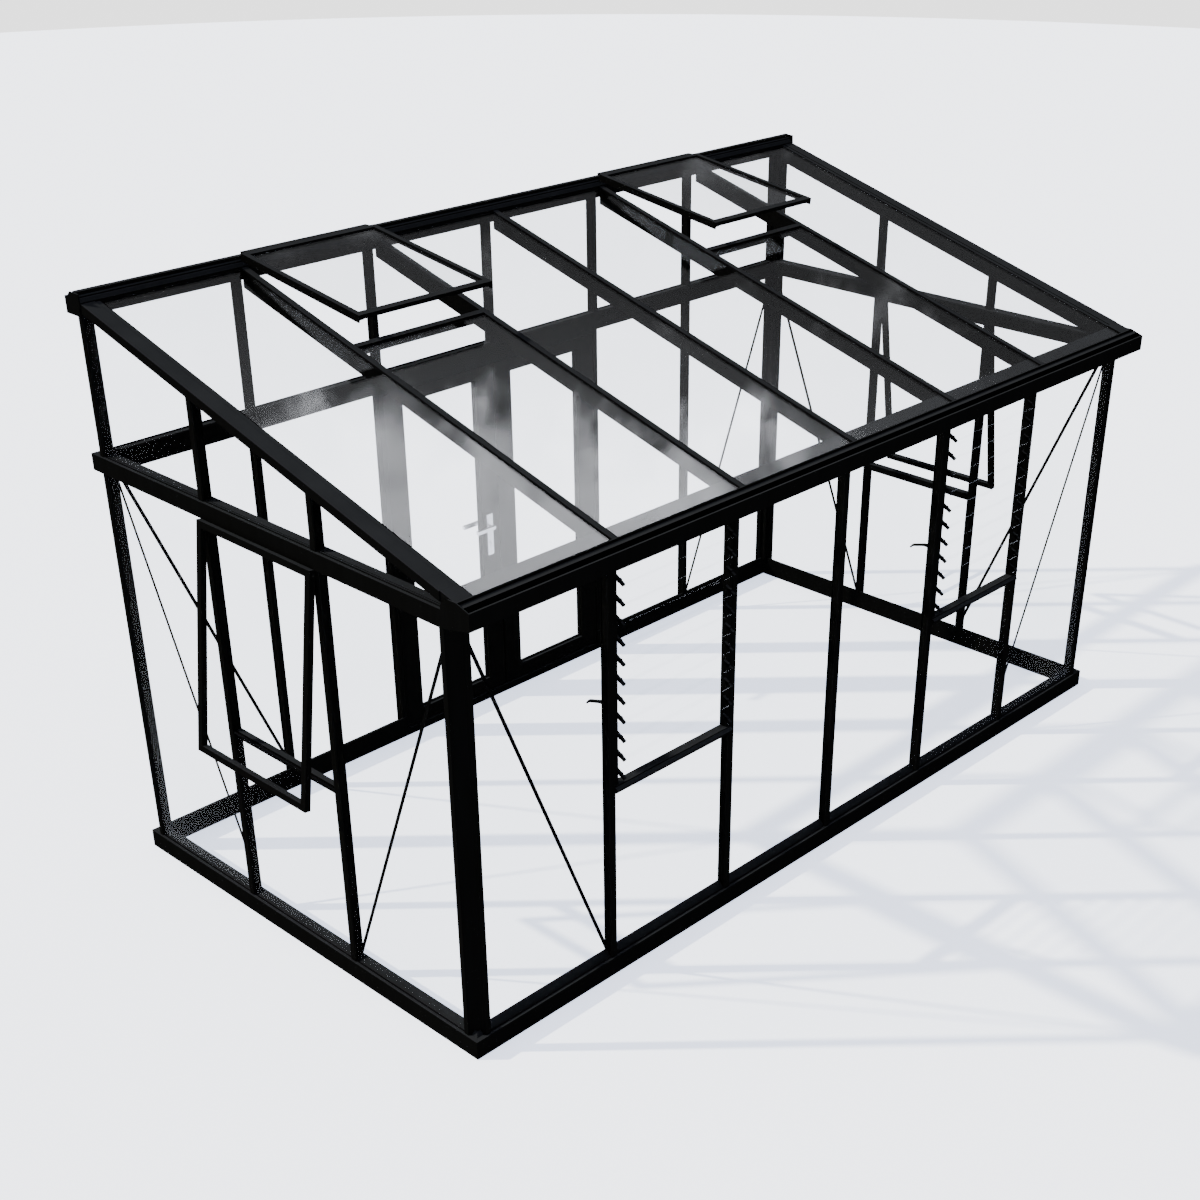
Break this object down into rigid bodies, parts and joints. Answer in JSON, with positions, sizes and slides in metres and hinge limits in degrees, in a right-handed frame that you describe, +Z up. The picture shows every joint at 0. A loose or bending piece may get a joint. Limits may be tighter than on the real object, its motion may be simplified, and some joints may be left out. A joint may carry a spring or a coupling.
{
  "type": "mono-pitch glass greenhouse",
  "caption": "Glass greenhouse with one sloping roof, dark metal bars, roof vents, louvre and side windows, and a double door in the tall back wall.",
  "frame": {"origin": "On the ground, in the middle of the whole outline, which reaches from the gutter lip to the outer door lever.", "axes": "+X along the building to the right when the low gutter wall is in front, +Y from the gutter wall to the tall back wall with the door, +Z up."},
  "size_m": [4.738, 2.396, 2.627],
  "materials": {
    "dark_frame": "near-black powder coat, satin",
    "glass": "clear toughened glass, 4 mm",
    "satin_steel": "satin silver lock furniture"
  },
  "bodies": {
    "frame": {"base_front": "dark_frame", "base_back": "dark_frame", "base_left": "dark_frame", "base_right": "dark_frame", "door_threshold": "dark_frame", "corner_post_front_left": "dark_frame", "corner_post_front_right": "dark_frame", "corner_post_back_left": "dark_frame", "corner_post_back_right": "dark_frame", "front_mullions": "dark_frame", "side_wall_mullions": "dark_frame", "back_wall_mullions": "dark_frame", "door_jambs": "dark_frame", "door_head": "dark_frame", "side_mid_rails": "dark_frame", "back_transom": "dark_frame", "gable_mullions": "dark_frame", "back_upper_mullions": "dark_frame", "upper_corner_posts": "dark_frame", "eave_beam": "dark_frame", "gutter": "dark_frame", "gutter_end_caps": "dark_frame", "rake_beams": "dark_frame", "rake_shoes": "dark_frame", "ridge_beam": "dark_frame", "ridge_end_caps": "dark_frame", "rafters": "dark_frame", "vent_trimmers": "dark_frame", "roof_vent_left": "dark_frame", "roof_vent_right": "dark_frame", "vent_glass": "glass", "vent_hinge_strips": "dark_frame", "side_window_sashes": "dark_frame", "side_window_glass": "glass", "side_window_sills": "dark_frame", "louvre_frames": "dark_frame", "louvre_blades": "glass", "louvre_levers": "dark_frame", "corner_braces": "dark_frame", "front_glass": "glass", "back_glass": "glass", "left_wall_glass": "glass", "right_wall_glass": "glass", "roof_glass": "glass", "jamb_hinges": "dark_frame"},
    "left_door": {"left_door_frame": "dark_frame", "left_door_glass": "glass", "left_door_hinges": "dark_frame", "lock_plates": "satin_steel"},
    "right_door": {"right_door_frame": "dark_frame", "right_door_glass": "glass", "right_door_hinges": "dark_frame"},
    "lever": {"door_lever": "satin_steel"}
  },
  "joints": [
    {"name": "left_door_hinge", "type": "hinge", "parent": "frame", "child": "left_door", "pos_m": [-0.69425, 1.164, 1], "axis": [0, 0, 1], "range_deg": [0, 100]},
    {"name": "right_door_hinge", "type": "hinge", "parent": "frame", "child": "right_door", "pos_m": [0.69425, 1.164, 1], "axis": [0, 0, -1], "range_deg": [0, 100]},
    {"name": "lever_turn", "type": "hinge", "parent": "left_door", "child": "lever", "pos_m": [-0.0705, 1.136, 0.978], "axis": [0, -1, 0], "range_deg": [0, 35]}
  ]
}
